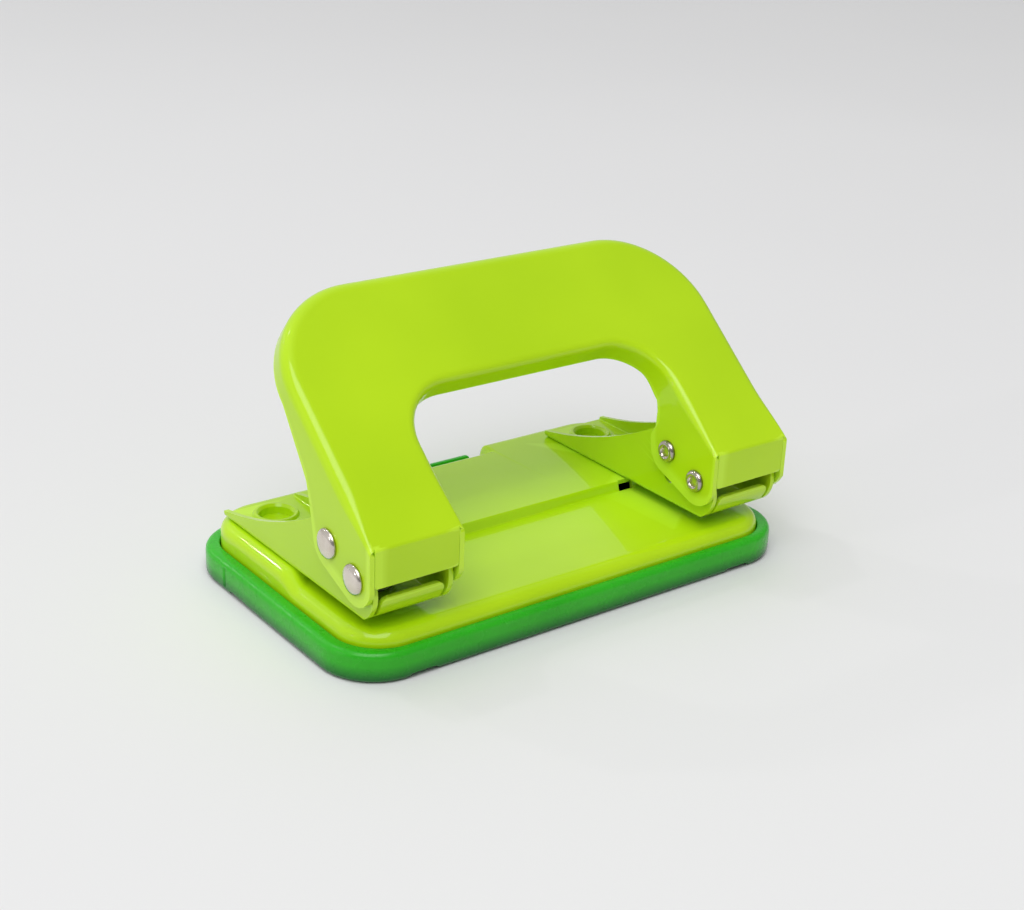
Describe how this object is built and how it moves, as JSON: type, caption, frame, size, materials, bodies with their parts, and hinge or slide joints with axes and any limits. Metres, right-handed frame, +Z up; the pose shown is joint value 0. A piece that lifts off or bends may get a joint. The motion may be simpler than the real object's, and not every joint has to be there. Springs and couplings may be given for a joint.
{
  "type": "paper hole punch",
  "caption": "Desk paper punch: a pressed steel arch handle drives sprung punches through paper, over a translucent chip tray that clips on underneath.",
  "frame": {"origin": "middle of the footprint, on the surface that the punch stands on", "axes": "+X along the row of punched holes, +Y from the paper's edge towards the paper stop and the rear, +Z up"},
  "size_m": [0.1072, 0.0636, 0.0604],
  "materials": {
    "lime_paint": "gloss lime paint on pressed sheet steel",
    "green_plastic": "gloss, translucent green",
    "nickel_plate": "polished nickel plate",
    "tool_steel": "ground tool steel",
    "spring_steel": "drawn spring wire"
  },
  "bodies": {
    "base": {"base_plate": "lime_paint", "left_bracket": "lime_paint", "right_bracket": "lime_paint", "left_bracket_rivets": "lime_paint", "right_bracket_rivets": "lime_paint", "left_pivot_pin": "nickel_plate", "right_pivot_pin": "nickel_plate", "left_pivot_sleeve": "tool_steel", "right_pivot_sleeve": "tool_steel", "left_return_spring": "spring_steel", "right_return_spring": "spring_steel"},
    "handle": {"handle": "lime_paint", "left_drive_pin": "nickel_plate", "right_drive_pin": "nickel_plate"},
    "left_punch": {"left_punch": "tool_steel", "left_spring_washer": "tool_steel"},
    "right_punch": {"right_punch": "tool_steel", "right_spring_washer": "tool_steel"},
    "tray": {"chip_tray": "green_plastic"}
  },
  "joints": [
    {"name": "handle_press", "type": "hinge", "parent": "base", "child": "handle", "pos_m": [0, -0.02585, 0.0196], "axis": [-1, 0, 0], "range_deg": [0, 34], "stiffness_Nm_per_rad": 0.33, "springref_deg": -12.61},
    {"name": "left_punch_slide", "type": "slide", "parent": "base", "child": "left_punch", "axis": [0, 0, -1], "range_m": [0, 0.00542], "deforming": ["left_return_spring"]},
    {"name": "right_punch_slide", "type": "slide", "parent": "base", "child": "right_punch", "axis": [0, 0, -1], "range_m": [0, 0.00542], "deforming": ["right_return_spring"]},
    {"name": "tray_release", "type": "slide", "parent": "tray", "child": "base", "axis": [0, 0, 1], "range_m": [0, 0.01]}
  ],
  "couplings": [
    {"joint": "left_punch_slide", "follows": "handle_press", "m_per_rad": 0.009134},
    {"joint": "right_punch_slide", "follows": "handle_press", "m_per_rad": 0.009134}
  ]
}
